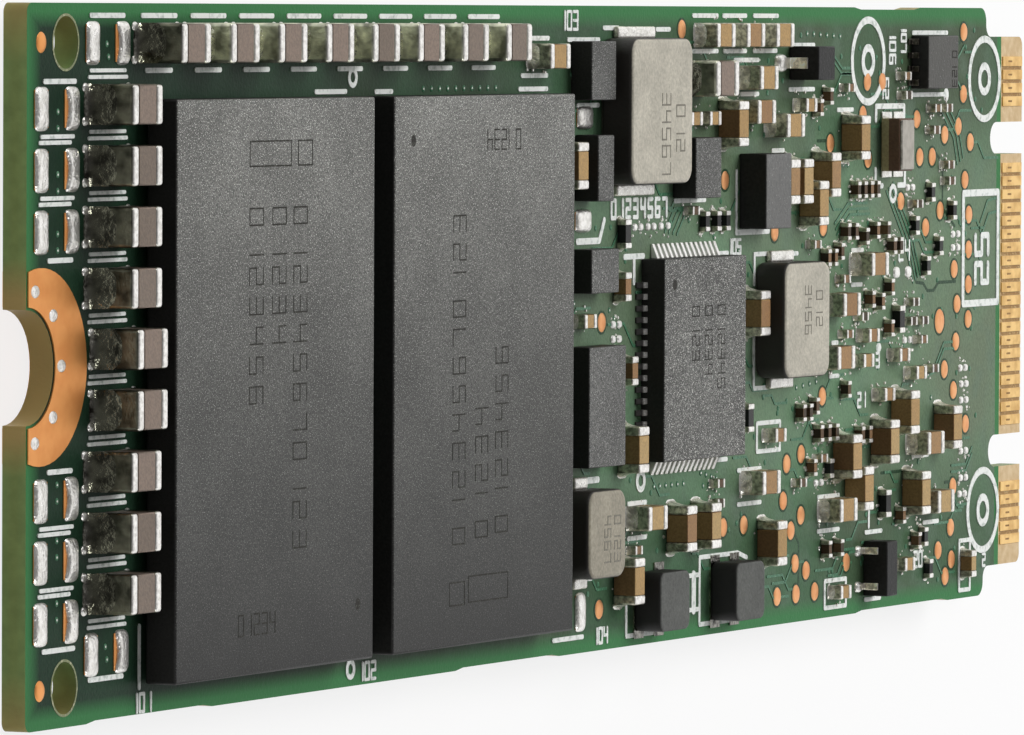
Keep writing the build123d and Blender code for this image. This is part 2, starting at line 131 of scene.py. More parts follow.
# Painted shade of the first column's ends, and painted reflection on the row's ends
painted_column_shade = (0.058, 0.058, 0.043)
painted_row_reflection = (0.225, 0.229, 0.176)
tin_bright = (1.0, 0.98, 0.94)
tin_dull = (0.72, 0.70, 0.66)


# Material helpers

def shader(name, roughness, metallic=0.0, specular=0.5):
    """A new material with an even surface, and its node tree."""
    material = bpy.data.materials.new(name)
    material.use_nodes = True
    surface = material.node_tree.nodes["Principled BSDF"].inputs
    surface["Roughness"].default_value = roughness
    surface["Metallic"].default_value = metallic
    surface["Specular IOR Level"].default_value = specular
    return material, material.node_tree


def add(tree, kind, inputs, **settings):
    """A node with its settings; an input is a value or a socket to link."""
    made = tree.nodes.new(kind)
    for key, value in settings.items():
        setattr(made, key, value)
    for key, value in inputs.items():
        if isinstance(value, bpy.types.NodeSocket):
            tree.links.new(value, made.inputs[key])
        else:
            made.inputs[key].default_value = value
    return made


def place(tree):
    """Position in the card's frame, in metres."""
    return add(tree, "ShaderNodeTexCoord", {}).outputs["Object"]


def axis(tree, name):
    """One coordinate of that position."""
    return add(tree, "ShaderNodeSeparateXYZ", {"Vector": place(tree)}).outputs[name]


def noise(tree, size, detail=2.0):
    """Noise with features of about this size in millimetres."""
    inputs = {"Vector": place(tree), "Scale": 1 / (size * MM), "Detail": detail}
    return add(tree, "ShaderNodeTexNoise", inputs).outputs[0]


def ramp(tree, factor, stops, steps="LINEAR"):
    """Colours by factor; stops are (position, shade), and a number for a shade is a grey."""
    made = add(tree, "ShaderNodeValToRGB", {"Fac": factor})
    made.color_ramp.interpolation = steps
    elements = made.color_ramp.elements
    while len(elements) < len(stops):
        elements.new(0.5)
    for element, (position, shade) in zip(elements, stops):
        element.position = position
        element.color = (*(shade if isinstance(shade, tuple) else (shade,) * 3), 1.0)
    return made.outputs["Color"]


def brighter(shade, gain):
    """A shade made brighter."""
    return tuple(gain * part for part in shade)


def mix(tree, factor, first, second, blend="MIX"):
    """Two colours mixed by a factor; each is a shade or a socket."""
    first, second = [(*part, 1.0) if isinstance(part, tuple) else part for part in (first, second)]
    inputs = {0: factor, 6: first, 7: second}
    return add(tree, "ShaderNodeMix", inputs, data_type="RGBA", blend_type=blend).outputs[2]


def times(tree, first, second):
    """Two colours multiplied."""
    return mix(tree, 1.0, first, second, "MULTIPLY")


def maths(tree, operation, first, second=0.0):
    """One arithmetic step."""
    return add(tree, "ShaderNodeMath", {0: first, 1: second}, operation=operation).outputs[0]


def span(tree, value, low, high, at_low=0.0, at_high=1.0):
    """A place between two others, in millimetres, as a level between two levels."""
    inputs = {
        "Value": value, "From Min": low * MM, "From Max": high * MM, "To Min": at_low, "To Max": at_high}
    return add(tree, "ShaderNodeMapRange", inputs).outputs[0]


def past(tree, x):
    """One past this place along the card, nought before it."""
    return maths(tree, "GREATER_THAN", axis(tree, "X"), (end_x + x) * MM)


def covered(material, shade, relief, depth, roughness=None, patches=None):
    """The material with its colour, relief of a depth in millimetres and, if it varies, roughness."""
    tree = material.node_tree
    surface = tree.nodes["Principled BSDF"].inputs
    tree.links.new(shade, surface["Base Color"])
    height = add(tree, "ShaderNodeBump", {"Height": relief, "Distance": depth * MM})
    tree.links.new(height.outputs[0], surface["Normal"])
    if roughness:
        spots = relief if patches is None else patches
        inputs = {"Value": spots, "To Min": roughness[0], "To Max": roughness[1]}
        tree.links.new(add(tree, "ShaderNodeMapRange", inputs).outputs[0], surface["Roughness"])
    return material


def flatness(tree):
    """How level a face lies: one on tops and undersides, nought on walls."""
    normal = add(tree, "ShaderNodeNewGeometry", {}).outputs["Normal"]
    up = add(tree, "ShaderNodeSeparateXYZ", {"Vector": normal}).outputs["Z"]
    return maths(tree, "ABSOLUTE", up)


def facing_up(tree, low=0.55, high=0.8):
    """One on level faces, nought on walls, with a soft change between them."""
    return ramp(tree, flatness(tree), [(low, 0), (high, 1)])


# Materials

def epoxy(name, dark, light, grain, fleck, roughness, specular=0.5, fleck_from=0.58, painted_sheen_side=False):
    """Moulded epoxy with grain and bright flecks; its walls take a painted shade, and if wanted its top a
    painted sheen, lighter towards the card's +Y side.
    """
    material, tree = shader(name, roughness, 0.0, specular)
    fine = noise(tree, grain, 3.0)
    base = ramp(tree, fine, [(0.3, dark), (0.7, light)])
    base = mix(tree, noise(tree, 40 * grain), base, dark)
    flecks = ramp(tree, noise(tree, 0.6 * grain, 1.0), [(fleck_from, 0), (fleck_from + 0.1, 1)])
    top = mix(tree, flecks, base, fleck)
    # Painted sheen: the top's colour grows lighter towards the card's +Y side, as reflections made it
    if painted_sheen_side:
        across = span(tree, axis(tree, "Y"), -card_half_width, card_half_width)
        painted_sheen = ramp(tree, across, [(0.05, 0.10), (0.45, 0.55), (0.85, 1.25)])
        top = times(tree, top, painted_sheen)
    # Painted shade: walls much darker than the top, as if unlit
    painted_wall_shade = ramp(tree, fine, [(0.3, painted_wall_shade_dark), (0.7, painted_wall_shade_light)])
    shade = mix(tree, facing_up(tree), painted_wall_shade, top)
    return covered(material, shade, fine, 0.12 * grain, (roughness - 0.08, roughness + 0.08))


def painted_end_shading(tree):
    """Painted shade on the ends of the large capacitors, dark in their first column; past it a lighter
    painted reflection of the neighbours, in smears.
    """
    smears = noise(tree, painted_smear_size)
    near = ramp(tree, smears, [(0.36, painted_column_shade), (0.64, brighter(painted_column_shade, 3.6))])
    far = ramp(tree, smears, [(0.36, painted_row_reflection), (0.64, brighter(painted_row_reflection, 3.6))])
    return mix(tree, past(tree, column_end_x), near, far)


def metal(name, bright, dull, grain, low, high, depth, painted_wall_shade=None, metallic=1.0, painted_smeared_shade=False):
    """Plated or soldered metal with dull patches and fine relief; its walls may take a painted shade, or on
    the lid a painted highlight.
    """
    material, tree = shader(name, low, metallic)
    patches = noise(tree, grain, 3.0)
    shade = ramp(tree, patches, [(0.35, dull), (0.6, bright)])
    painted_wall_colour = None
    if painted_smeared_shade:
        painted_wall_colour = painted_end_shading(tree)
    elif painted_wall_shade:
        painted_wall_colour = ramp(tree, patches, [(0.38, painted_wall_shade), (0.62, brighter(painted_wall_shade, 2.6))])
    # Walls take this colour instead of the top's: painted shade, or painted highlight
    if painted_wall_colour is not None:
        shade = mix(tree, facing_up(tree, 0.5, 0.85), painted_wall_colour, shade)
    return covered(material, shade, noise(tree, 0.5 * grain), depth, (high, low), patches)


def painted_glint_tin(name, chip):
    """Tin plate of a chip's leads; those on its near side take a painted shade, up to a painted glint beside
    it.
    """
    material, tree = shader(name, 0.28, 0.35)
    wall_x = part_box(chip)[0].x / MM
    inward = span(tree, axis(tree, "X"), wall_x - lead_reach, wall_x)
    # Painted shade out along the near leads, painted glint next to the chip
    shade = ramp(tree, inward, [(0.55, (0.03, 0.028, 0.025)), (0.72, tin_bright)])
    return covered(material, shade, noise(tree, 0.14, 3.0), 0.012, (0.45, 0.26))


def fired(name, shades, grain, roughness):
    """Fired ceramic whose walls take a painted shade, darker than the top; each piece takes one of the
    shades.
    """
    material, tree = shader(name, roughness, 0.0, 0.2)
    pick = add(tree, "ShaderNodeNewGeometry", {}).outputs["Random Per Island"]
    shade = ramp(tree, pick, [(i / len(shades), tone) for i, tone in enumerate(shades)], "CONSTANT")
    fine = noise(tree, grain, 3.0)
    dirt = ramp(tree, fine, [(0.3, 0.72), (0.65, 1.0)])
    # Painted shade: walls at seven tenths of the top's colour
    painted_wall_shade = ramp(tree, facing_up(tree), [(0.0, 0.7), (1.0, 1.0)])
    shade = times(tree, times(tree, shade, dirt), painted_wall_shade)
    return covered(material, shade, fine, 0.1 * grain, (roughness - 0.1, roughness + 0.1))


def coated(name, top_shades, painted_side_shade, roughness, grain):
    """Pressed powder body with a lighter top; its sides take a dark painted shade."""
    material, tree = shader(name, roughness, 0.0, 0.4)
    fine = noise(tree, grain, 4.0)
    top = ramp(tree, fine, [(0.3, top_shades[0]), (0.7, top_shades[1])])
    smudge = ramp(tree, noise(tree, 12 * grain), [(0.4, 0.86), (0.6, 1.0)])
    # Painted shade on the sides, the top keeps its own colour
    shade = mix(tree, facing_up(tree), painted_side_shade, times(tree, top, smudge))
    return covered(material, shade, fine, 0.1 * grain)


def layered_case(name, lower, upper, seam_z):
    """Fired ceramic case of two layers that meet at this height."""
    material, tree = shader(name, 0.5, 0.0, 0.2)
    fine = noise(tree, 0.1, 3.0)
    over_seam = maths(tree, "GREATER_THAN", axis(tree, "Z"), seam_z * MM)
    dirt = ramp(tree, fine, [(0.3, 0.75), (0.65, 1.0)])
    shade = times(tree, mix(tree, over_seam, lower, upper), dirt)
    return covered(material, shade, fine, 0.01, (0.4, 0.6))


def mask_green(tree, along, off_middle, fine):
    """Green of the mask: a painted shade towards the notched end, turning to a lighter painted sheen with
    blotches towards the connector, and bright at the rim.
    """
    cloud = noise(tree, 7.0, 3.0)
    # Painted shade near the notched end; painted sheen with blotches further on
    shaded_green = ramp(tree, cloud, [(0.35, (0.012, 0.032, 0.018)), (0.65, (0.020, 0.050, 0.028))])
    side_green = ramp(tree, cloud, [(0.35, (0.071, 0.106, 0.059)), (0.65, (0.070, 0.149, 0.079))])
    middle_green = ramp(tree, cloud, [(0.35, (0.157, 0.210, 0.133)), (0.65, (0.158, 0.277, 0.164))])
    sheen_and_blotch_green = mix(tree, span(tree, off_middle, 4.5, 8.0, 1.0, 0.0), side_green, middle_green)
    blotch = ramp(tree, noise(tree, 1.5, 3.0), [(0.5, 0.0), (0.72, 0.5)])
    sheen_and_blotch_green = mix(tree, blotch, sheen_and_blotch_green, (0.135, 0.20, 0.145))
    green = mix(tree, span(tree, along, end_x + sheen_from_x, end_x + sheen_to_x), shaded_green, sheen_and_blotch_green)
    green = times(tree, green, ramp(tree, fine, [(0.3, 0.78), (0.7, 1.0)]))
    side_rim = span(
        tree, off_middle, card_half_width - 1.7 * edge_band, card_half_width - 0.6 * edge_band)
    notched_rim = span(tree, along, end_x + 0.1, end_x + 0.9, 1.0, 0.0)
    end_rims = maths(tree, "MAXIMUM", notched_rim, past(tree, mask_end_x - 0.4))
    return mix(tree, maths(tree, "MAXIMUM", side_rim, end_rims), green, (0.042, 0.185, 0.062))


def cut_laminate(tree, off_middle):
    """Cut edges of the card, with fibres, browned beside the notch and at the corners."""
    from_middle = maths(tree, "SUBTRACT", axis(tree, "Z"), (front_z - card_thickness / 2) * MM)
    share = maths(tree, "MULTIPLY", maths(tree, "ABSOLUTE", from_middle), 2 / (card_thickness * MM))
    cut = ramp(tree, share, [(0.2, (0.245, 0.315, 0.11)), (0.9, (0.25, 0.35, 0.13))])
    cut = times(tree, cut, ramp(tree, noise(tree, 0.5, 3.0), [(0.35, 0.85), (0.65, 1.0)]))
    by_notch = span(tree, off_middle, 2.1, 3.3, 0.9, 0.0)
    by_corner = span(tree, off_middle, 9.2, 10.8, 0.0, 0.6)
    return mix(tree, maths(tree, "MAXIMUM", by_notch, by_corner), cut, (0.46, 0.32, 0.125))


def card_laminate():
    """Green mask on the faces, bare laminate at the tongue's tip and cut laminate on the edges."""
    material, tree = shader("card_laminate", 0.38, 0.0, 0.05)
    off_middle = maths(tree, "ABSOLUTE", axis(tree, "Y"))
    fine = noise(tree, 0.12, 3.0)
    green = mask_green(tree, axis(tree, "X"), off_middle, fine)
    bare = ramp(tree, noise(tree, 0.35, 3.0), [(0.3, (0.58, 0.41, 0.22)), (0.7, (0.70, 0.54, 0.33))])
    face = mix(tree, past(tree, mask_end_x), green, bare)
    is_face = maths(tree, "GREATER_THAN", flatness(tree), 0.5)
    shade = mix(tree, is_face, cut_laminate(tree, off_middle), face)
    return covered(material, shade, fine, 0.012, (0.30, 0.46))


def ink():
    """White screen print, thin in places."""
    material, tree = shader("white_print", 0.6, 0.0, 0.1)
    wear = noise(tree, 0.25, 4.0)
    shade = ramp(tree, wear, [(0.3, (0.52, 0.57, 0.53)), (0.5, (0.86, 0.88, 0.85))])
    return covered(material, shade, wear, 0.01)


# Metals: bright and dull shade, patches, lowest and highest roughness, relief, painted colour of walls,
# metallic

# The tin's end faces take a darker painted shade
tin = metal("tin_plate", tin_bright, tin_dull, 0.14, 0.26, 0.45, 0.012, painted_end_shade, 0.7)
# The large capacitors' ends take a painted shade, and past the first column a painted reflection
bulk_tin = metal("bulk_tin_plate", tin_bright, tin_dull, 0.14, 0.28, 0.45, 0.012, painted_smeared_shade=True)
power_tin_painted_glint = painted_glint_tin("power_chip_tin", "power_chip")
# The leads' walls take a painted shade
lead_tin = metal("lead_tin", tin_bright, tin_dull, 0.2, 0.26, 0.4, 0.01, (0.5, 0.46, 0.36), 0.8)
# Painted shade: the sensor chip's leads are coloured dark, as if unlit
painted_shade_lead = metal("painted_shade_lead", (0.12, 0.11, 0.09), (0.035, 0.03, 0.025), 0.2, 0.3, 0.45, 0.01)
# The solder's slopes and walls take a painted shade
solder = metal(
    "reflowed_solder", (1.0, 0.98, 0.93), (0.75, 0.73, 0.68), 0.25, 0.18, 0.4, 0.03, (0.45, 0.43, 0.36), 0.5)
# Painted shade: this solder's colour is kept dark so the fillets look unlit, with bright spots
shaded_bulk_solder = metal(
    "shaded_bulk_solder", (0.26, 0.25, 0.22), (0.02, 0.018, 0.015), 0.35, 0.16, 0.3, 0.04, painted_smeared_shade=True)
land_solder = metal("land_solder", tin_bright, (0.80, 0.78, 0.73), 0.2, 0.2, 0.42, 0.035, metallic=0.9)
bead_solder = metal(
    "bead_solder", (1.0, 0.99, 0.96), (0.86, 0.84, 0.80), 0.2, 0.25, 0.42, 0.02, metallic=0.4)
copper = metal("bare_copper", (0.93, 0.425, 0.138), (0.87, 0.372, 0.115), 0.7, 0.44, 0.52, 0.005)
dot_copper = metal("test_point_copper", (1.0, 0.53, 0.25), (0.90, 0.42, 0.18), 0.5, 0.45, 0.55, 0.006)
gold = metal("gold_plate", (0.97, 0.66, 0.26), (0.76, 0.47, 0.16), 0.6, 0.34, 0.5, 0.008)
worn_gold = metal("worn_gold", (0.42, 0.24, 0.08), (0.30, 0.16, 0.05), 0.2, 0.4, 0.6, 0.004)
# The lid's walls and rounded edge take a lighter colour than its top: a painted highlight
lid_metal = metal(
    "lid_metal", (0.42, 0.39, 0.34), (0.34, 0.315, 0.27), 0.3, 0.34, 0.45, 0.006, (0.38, 0.37, 0.35), 0.35)

# Epoxy: dark and light shade, grain, flecks, roughness, specular, share without flecks

# The flash packages' tops carry a painted sheen across the card
flash_epoxy = epoxy(
    "flash_epoxy", (0.05, 0.05, 0.046), (0.29, 0.29, 0.27), 0.075, (0.66, 0.66, 0.62), 0.5, 0.3, 0.6,
    painted_sheen_side=True)
chip_epoxy = epoxy(
    "chip_epoxy", (0.012, 0.012, 0.011), (0.26, 0.26, 0.243), 0.065, (0.78, 0.78, 0.73), 0.48, 0.3, 0.6)
regulator_epoxy = epoxy(
    "regulator_epoxy", (0.018, 0.018, 0.016), (0.24, 0.24, 0.23), 0.065, (0.42, 0.42, 0.40), 0.48, 0.3, 0.6)
plain_epoxy = epoxy(
    "plain_epoxy", (0.09, 0.09, 0.087), (0.19, 0.19, 0.183), 0.12, (0.28, 0.28, 0.27), 0.48, 0.3, 0.66)
sensor_epoxy = epoxy(
    "sensor_epoxy", (0.052, 0.051, 0.046), (0.11, 0.108, 0.098), 0.12, (0.17, 0.17, 0.16), 0.48, 0.3, 0.66)
dark_epoxy = epoxy(
    "dark_epoxy", (0.012, 0.012, 0.012), (0.03, 0.03, 0.03), 0.12, (0.06, 0.06, 0.058), 0.5, 0.2, 0.66)
etched = epoxy("etched_epoxy", (0.02, 0.019, 0.016), (0.045, 0.043, 0.036), 0.1, (0.08, 0.08, 0.07), 0.7, 0.2)
faint_etch = epoxy("faint_etch", (0.17, 0.16, 0.13), (0.26, 0.24, 0.20), 0.1, (0.3, 0.28, 0.24), 0.6, 0.2)

# Ceramics and coats

bulk_ceramic = fired(
    "bulk_ceramic", [(0.20, 0.155, 0.122), (0.27, 0.205, 0.165), (0.23, 0.18, 0.145)], 0.1, 0.5)
tan_ceramic = fired(
    "tan_ceramic",
    [(0.47, 0.30, 0.125), (0.32, 0.18, 0.08), (0.50, 0.34, 0.15), (0.38, 0.225, 0.10), (0.43, 0.27, 0.11)],
    0.08, 0.5)
tiny_ceramic = fired(
    "tiny_ceramic", [(0.11, 0.065, 0.035), (0.24, 0.14, 0.07), (0.06, 0.042, 0.026)], 0.06, 0.5)
resistor_glaze = fired("resistor_glaze", [(0.014, 0.014, 0.013), (0.022, 0.022, 0.022)], 0.08, 0.4)
case_ceramic = layered_case("case_ceramic", (0.40, 0.35, 0.19), (0.15, 0.09, 0.06), front_z + 0.38)
# Inductor sides take a painted shade
inductor_coat = coated("inductor_coat", ((0.41, 0.385, 0.315), (0.58, 0.54, 0.45)), painted_dark_side, 0.5, 0.12)
small_coat = coated("small_coat", ((0.26, 0.238, 0.18), (0.38, 0.342, 0.265)), painted_dark_side, 0.5, 0.12)
# The ferrite's sides take an almost black painted shade
ferrite = coated(
    "ferrite_coat", ((0.06, 0.063, 0.058), (0.105, 0.108, 0.10)), (0.006, 0.0055, 0.005), 0.6, 0.1)

# Card

laminate = card_laminate()
white_ink = ink()
rim_laminate = epoxy("rim_laminate", (0.15, 0.18, 0.07), (0.26, 0.28, 0.13), 0.2, (0.4, 0.4, 0.24), 0.4)
# Painted shade for the laminate between the contacts
painted_gap_shade = epoxy(
    "painted_gap_shade", (0.30, 0.18, 0.07), (0.42, 0.27, 0.12), 0.2, (0.5, 0.36, 0.18), 0.6, 0.2)
rim_mask = epoxy("rim_mask", (0.02, 0.05, 0.025), (0.035, 0.075, 0.04), 0.15, (0.05, 0.1, 0.06), 0.4, 0.1)
track_mask = epoxy(
    "track_mask", (0.05, 0.15, 0.08), (0.07, 0.20, 0.11), 0.15, (0.12, 0.26, 0.16), 0.3, 0.15)


# Seven bars of a plain digit: their ends across and up its cell, and the bars of each digit

bar_ends = {
    "a": ((0, 1), (1, 1)), "b": ((1, 0.5), (1, 1)), "c": ((1, 0), (1, 0.5)), "d": ((0, 0), (1, 0)),
    "e": ((0, 0), (0, 0.5)), "f": ((0, 0.5), (0, 1)), "g": ((0, 0.5), (1, 0.5)),
}
digit_bars = {
    "0": "adfebc", "1": "bc", "2": "agdbe", "3": "agdbc", "4": "gfbc", "5": "agdfc", "6": "agdfec",
    "7": "abc",
}


# Shape helpers

def bands(first, loops, sides):
    """Faces between loops of points that follow each other."""
    faces = []
    for here in range(first, first + (loops - 1) * sides, sides):
        for i in range(sides):
            j = (i + 1) % sides
            faces.append([here + i, here + j, here + sides + j, here + sides + i])
    return faces


def turned(x, y, along, out, side):
    """A place so far out from another along a way, and so far to the left of it."""
    return x + along[0] * out - along[1] * side, y + along[1] * out + along[0] * side


class Shapes:
    """Closed shapes collected into one mesh, in millimetres."""

    def __init__(self):
        self.points = []
        self.faces = []
        self.strokes = 0

    def add(self, points, faces):
        """Points, and faces that count from the first of them."""
        first = len(self.points)
        self.points += points
        self.faces += [[first + i for i in face] for face in faces]

    def prism(self, ring, low, high):
        """A flat plate with this outline."""
        n = len(ring)
        points = [(x, y, low) for x, y in ring] + [(x, y, high) for x, y in ring]
        self.add(points, [list(range(n - 1, -1, -1)), list(range(n, 2 * n))] + bands(0, 2, n))

    def plate(self, x0, y0, x1, y1, low, high):
        """A rectangular plate."""
        self.prism([(x0, y0), (x1, y0), (x1, y1), (x0, y1)], low, high)

    def stroke(self, start, end, width, low, high):
        """A round-ended bar, a hair off the last one's height so that crossings stay clean."""
        angle = math.atan2(end[1] - start[1], end[0] - start[0])
        ring = []
        for centre, turn in ((end, angle - math.pi / 2), (start, angle + math.pi / 2)):
            for i in range(5):
                a = turn + math.pi * i / 4
                ring.append((centre[0] + width / 2 * math.cos(a), centre[1] + width / 2 * math.sin(a)))
        self.strokes += 1
        self.prism(ring, low, high + stroke_step * (self.strokes % stroke_steps))

    def path(self, places, width, low, high):
        """Bars through several places."""
        for start, end in zip(places, places[1:]):
            self.stroke(start, end, width, low, high)

    def frame(self, x0, y0, x1, y1, width, low, high):
        """A rectangular frame of bars."""
        self.path([(x0, y0), (x1, y0), (x1, y1), (x0, y1), (x0, y0)], width, low, high)

    def number(self, digits, x, y, size, along, width, low, high, step=digit_step):
        """Plain digits of straight bars; along is the way they read."""
        for index, digit in enumerate(digits):
            for name in digit_bars[digit]:
                ends = []
                for across, rise in bar_ends[name]:
                    out = (index * step + digit_width * across) * size
                    ends.append(turned(x, y, along, out, size * rise))
                self.stroke(ends[0], ends[1], width, low, high)

    def ring(self, x, y, outer, inner, low, high, sides=40):
        """A flat ring."""
        points = []
        for radius, z in ((outer, low), (outer, high), (inner, high), (inner, low)):
            for i in range(sides):
                a = 2 * math.pi * i / sides
                points.append((x + radius * math.cos(a), y + radius * math.sin(a), z))
        last = 3 * sides
        inside = [[last + i, last + (i + 1) % sides, (i + 1) % sides, i] for i in range(sides)]
        self.add(points, bands(0, 4, sides) + inside)

    def dome(self, x, y, half_x, half_y, low, height, corner=2.0, sides=28, levels=5, pull=(0, 0)):
        """A cushion; a corner power above 2 squares it, a pull draws in its left and right sides."""
        points = [(x, y, low)]
        for level in range(levels):
            share = 1 - (level / levels) ** 2
            t = math.sqrt(1 - share ** 4)
            for i in range(sides):
                a = 2 * math.pi * i / sides
                c, s = math.cos(a), math.sin(a)
                reach = (abs(c) ** corner + abs(s) ** corner) ** (-1 / corner)
                out, side = share * reach * c, share * reach * s
                out *= 1 - pull[out > 0] * (1 - side * side)
                points.append((x + half_x * out, y + half_y * side, low + height * t))
        points.append((x, y, low + height))
        top = len(points) - 1
        last = top - sides
        faces = bands(1, levels, sides)
        for i in range(sides):
            j = (i + 1) % sides
            faces += [[0, 1 + j, 1 + i], [last + i, last + j, top]]
        self.add(points, faces)

    def fillet(self, x, y, z, along, width, height, reach):
        """A hollow solder slope against a terminal's end, which faces along."""
        steps, columns = 5, 6
        points = []
        for j in range(columns + 1):
            s = 2 * j / columns - 1
            side = s * width / 2
            rise = height * (1 - 0.35 * s ** 4)
            run = reach * (1 - 0.5 * s ** 4)
            slope = [(run * t / steps, rise * (1 - t / steps) ** 2.2) for t in range(steps + 1)]
            for out, up in [(0.0, 0.0)] + slope:
                points.append((*turned(x, y, along, out, side), z + up))
        n = steps + 2
        ends = [list(range(n)), list(range(columns * n + n - 1, columns * n - 1, -1))]
        self.add(points, ends + bands(0, columns + 1, n))

    def piece(self, name, material, slot, smooth=True):
        """The mesh as a piece that rides on the card."""
        mesh = bpy.data.meshes.new(name)
        mesh.from_pydata([Vector(p) * MM for p in self.points], [], self.faces)
        work = bmesh.new()
        work.from_mesh(mesh)
        bmesh.ops.recalc_face_normals(work, faces=work.faces)
        work.to_mesh(mesh)
        work.free()
        return finish_piece(name, mesh, material, smooth)


def placed(name, data):
    """A new object in the scene."""
    made = bpy.data.objects.new(name, data)
    bpy.context.scene.collection.objects.link(made)
    return made


def finish_piece(name, mesh, material, smooth=True):
    """Shades a mesh, gives it its material and sets it on the card."""
    for face in mesh.polygons:
        face.use_smooth = smooth
    if smooth:
        mesh.set_sharp_from_angle(angle=math.radians(40))
    mesh.materials.clear()
    mesh.materials.append(material)
    made = placed(name, mesh)
    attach(made, "root")
    return made


def welded(mesh):
    """A working copy of a mesh with its doubled corners joined."""
    work = bmesh.new()
    work.from_mesh(mesh)
    bmesh.ops.remove_doubles(work, verts=work.verts, dist=weld * MM)
    return work


def islands(node):
    """Low and high corner of each separate solid of a CAD node, in millimetres."""
    work = welded(frame["nodes"][node].data)
    boxes = []
    seen = set()
    for vert in work.verts:
        if vert in seen:
            continue
        group, todo = [], [vert]
        seen.add(vert)
        while todo:
            here = todo.pop()
            group.append(here.co.copy())
            for edge in here.link_edges:
                other = edge.other_vert(here)
                if other not in seen:
                    seen.add(other)
                    todo.append(other)
        boxes.append([Vector([pick(p[k] for p in group) for k in range(3)]) / MM for pick in (min, max)])
    work.free()
    return boxes


def from_above(low, high):
    """Middle and half sizes of a box, seen from above."""
    return (low.x + high.x) / 2, (low.y + high.y) / 2, (high.x - low.x) / 2, (high.y - low.y) / 2


def rounded(node, material, width, segments=2):
    """A copy of a CAD node with its edges rounded, which stands for it."""
    mesh = frame["nodes"][node].data.copy()
    work = welded(mesh)
    bmesh.ops.dissolve_limit(work, angle_limit=math.radians(2), verts=work.verts, edges=work.edges)
    sharp = [edge for edge in work.edges if edge.is_manifold and edge.calc_face_angle() > math.radians(30)]
    bmesh.ops.bevel(
        work, geom=sharp, offset=width * MM, segments=segments, profile=0.5, affect="EDGES",
        clamp_overlap=True)
    work.to_mesh(mesh)
    work.free()
    made = finish_piece(node + "_rounded", mesh, material)
    for face in mesh.polygons:
        face.use_smooth = max(abs(part) for part in face.normal) < 0.9995
    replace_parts(made, node)
    return made


def dress(node, material):
    """A CAD node that keeps its shape and takes a material."""
    mesh = frame["nodes"][node].data
    mesh.materials.clear()
    mesh.materials.append(material)


def card(x, y):
    """A place on the card in the frame, from X counted from the notched end."""
    return (x + end_x, y)


# Card, contacts and bare copper

dress("circuit_board", laminate)
# The filter inductor's lands take the darkened solder, a painted shade
dress("filter_inductor_lands", shaded_bulk_solder)
for side in ("front", "back"):
    dress("edge_contacts_" + side, gold)
    dress("mounting_land_" + side, copper)


def copper_dots(node, material):
    """Smooth round dots in place of a node's few-sided ones."""
    dots = Shapes()
    for low, high in islands(node):
        dots.dome(*from_above(low, high), low.z, high.z - low.z, levels=3)
    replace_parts(dots.piece(node + "_round", material, slots[node]), node)


def dot_rims(width=0.08, height=0.012):
    """Dark rings of mask around the test points."""
    rims = Shapes()
    for low, high in islands("test_points"):
        x, y, radius, _ = from_above(low, high)
        rims.ring(x, y, radius + width, radius, front_z, front_z + height, 24)
    rims.piece("test_point_rims", rim_mask, "solder_mask")


copper_dots("test_points", dot_copper)
dot_rims()
copper_dots("fiducial_dots", copper)


# Packages: nodes, material, width of their rounded edges and its segments, if not 2

for nodes, *looks in [
    (["flash_package_" + spot for spot in ("front_1", "front_2", "back_1", "back_2")], flash_epoxy, 0.07),
    (["drive_controller", "working_memory"], flash_epoxy, 0.07),
    (["power_chip"], chip_epoxy, 0.05),
    (["regulator_chip_" + str(number) for number in range(1, 6)], regulator_epoxy, 0.05),
    (["switching_transistor"], plain_epoxy, 0.05),
    (["sensor_chip"], sensor_epoxy, 0.05),
    (["protection_diode", "small_transistor"], dark_epoxy, 0.05),
    (["large_inductor", "medium_inductor"], inductor_coat, 0.14, 4),
    (["small_inductor"], small_coat, 0.14, 4),
    (["filter_inductor_1", "filter_inductor_2"], ferrite, 0.08, 3),
    ([size + "_inductor_terminals" for size in ("large", "medium", "small")], solder, 0.07, 3),
    # The power chip's near leads carry a painted shade and glint
    (["power_chip_terminals"], power_tin_painted_glint, 0.02),
    (["protection_diode_leads", "small_transistor_leads"], lead_tin, 0.03),
    # The sensor chip's leads carry a painted shade
    (["sensor_chip_leads"], painted_shade_lead, 0.03),
    (["oscillator_case"], case_ceramic, 0.03),
    (["oscillator_lid"], lid_metal, 0.04, 3),
    (["oscillator_lands"], land_solder, 0.035, 3),
]:
    for node in nodes:
        rounded(node, *looks)


# Chip parts and their solder joints

def chip_parts(family, material, edge, share, reach, plate=tin, joint=solder, bead=0):
    """Rounded bodies and terminals, and solder slopes, with beads if wanted, at their ends."""
    bodies, terminals = family + "_bodies", family + "_terminals"
    rounded(bodies, material, 0.4 * edge)
    rounded(terminals, plate, edge, 3)
    centres = [(low + high) / 2 for low, high in islands(bodies)]
    joints, beads = Shapes(), Shapes()
    for low, high in islands(terminals):
        middle = (low + high) / 2
        nearest = min(centres, key=lambda c: (c - middle).length)
        away = middle - nearest
        size = high - low
        if abs(away.x) > abs(away.y):
            along = (math.copysign(1, away.x), 0)
            end, width = size.x / 2, size.y
        else:
            along = (0, math.copysign(1, away.y))
            end, width = size.y / 2, size.x
        x, y = middle.x + along[0] * end, middle.y + along[1] * end
        joints.fillet(x, y, low.z, along, width, share * size.z, reach)
        if bead:
            out, aside = 0.85 * reach, width / 2 - 0.6 * bead
            for off in (-aside, aside):
                beads.dome(*turned(x, y, along, out, off), bead, 0.8 * bead, low.z, 0.35 * bead)
    joints.piece(family + "_solder_joints", joint, "solder")
    if bead:
        beads.piece(family + "_solder_beads", land_solder, "solder")


